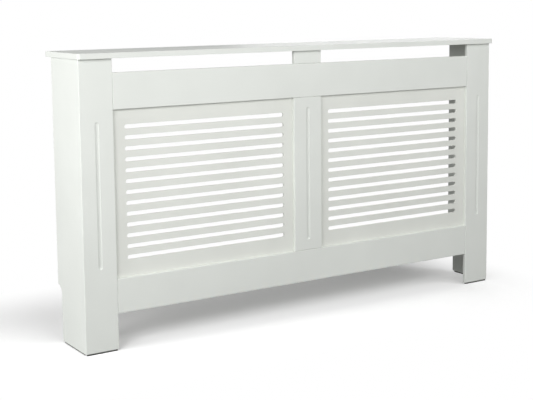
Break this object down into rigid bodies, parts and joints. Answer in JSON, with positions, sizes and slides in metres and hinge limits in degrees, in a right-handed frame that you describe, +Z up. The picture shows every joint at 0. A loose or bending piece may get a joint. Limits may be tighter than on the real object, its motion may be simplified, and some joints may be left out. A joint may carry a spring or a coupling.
{
  "type": "radiator cover cabinet",
  "caption": "Open-backed cover cabinet for a wall radiator, with a shelf top, fluted front stiles and slotted grille panels between two rails.",
  "frame": {"origin": "on the floor, under the middle of the shelf", "axes": "+X to the right as seen from the front, +Y towards the wall, +Z up"},
  "size_m": [1.468, 0.224, 0.815],
  "materials": {
    "painted_board": "satin off-white paint on fibreboard",
    "painted_grille": "satin off-white paint on thin fibreboard",
    "softwood": "bare planed softwood",
    "beech": "bare fluted dowel",
    "zinc_steel": "bright zinc",
    "dark_felt": "dense dark felt"
  },
  "bodies": {
    "root": {"top_shelf": "painted_board", "left_side_panel": "painted_board", "right_side_panel": "painted_board", "left_front_stile": "painted_board", "right_front_stile": "painted_board", "top_rail": "painted_board", "bottom_rail": "painted_board", "centre_stile": "painted_board", "centre_top_block": "painted_board", "left_grille_panel": "painted_grille", "right_grille_panel": "painted_grille", "left_corner_batten": "softwood", "left_shelf_cleat": "softwood", "right_corner_batten": "softwood", "right_shelf_cleat": "softwood", "centre_shelf_cleat": "softwood", "left_front_foot_pad": "dark_felt", "left_side_foot_pad": "dark_felt", "right_front_foot_pad": "dark_felt", "right_side_foot_pad": "dark_felt", "top_rail_left_dowel_1": "beech", "top_rail_left_dowel_2": "beech", "top_rail_right_dowel_1": "beech", "top_rail_right_dowel_2": "beech", "bottom_rail_left_dowel_1": "beech", "bottom_rail_left_dowel_2": "beech", "bottom_rail_right_dowel_1": "beech", "bottom_rail_right_dowel_2": "beech", "centre_stile_top_dowel_1": "beech", "centre_stile_top_dowel_2": "beech", "centre_stile_bottom_dowel_1": "beech", "centre_stile_bottom_dowel_2": "beech", "centre_block_dowel_1": "beech", "centre_block_dowel_2": "beech", "left_grille_screw_lower_inner": "zinc_steel", "left_grille_screw_upper_inner": "zinc_steel", "left_grille_screw_lower_outer": "zinc_steel", "left_grille_screw_upper_outer": "zinc_steel", "right_grille_screw_lower_inner": "zinc_steel", "right_grille_screw_upper_inner": "zinc_steel", "right_grille_screw_lower_outer": "zinc_steel", "right_grille_screw_upper_outer": "zinc_steel", "left_batten_side_screw_1": "zinc_steel", "left_batten_stile_screw_1": "zinc_steel", "left_batten_side_screw_2": "zinc_steel", "left_batten_stile_screw_2": "zinc_steel", "right_batten_side_screw_1": "zinc_steel", "right_batten_stile_screw_1": "zinc_steel", "right_batten_side_screw_2": "zinc_steel", "right_batten_stile_screw_2": "zinc_steel", "left_shelf_screw_1": "zinc_steel", "left_shelf_screw_2": "zinc_steel", "left_cleat_screw": "zinc_steel", "right_shelf_screw_1": "zinc_steel", "right_shelf_screw_2": "zinc_steel", "right_cleat_screw": "zinc_steel", "centre_shelf_screw_1": "zinc_steel", "centre_shelf_screw_2": "zinc_steel"}
  },
  "joints": []
}
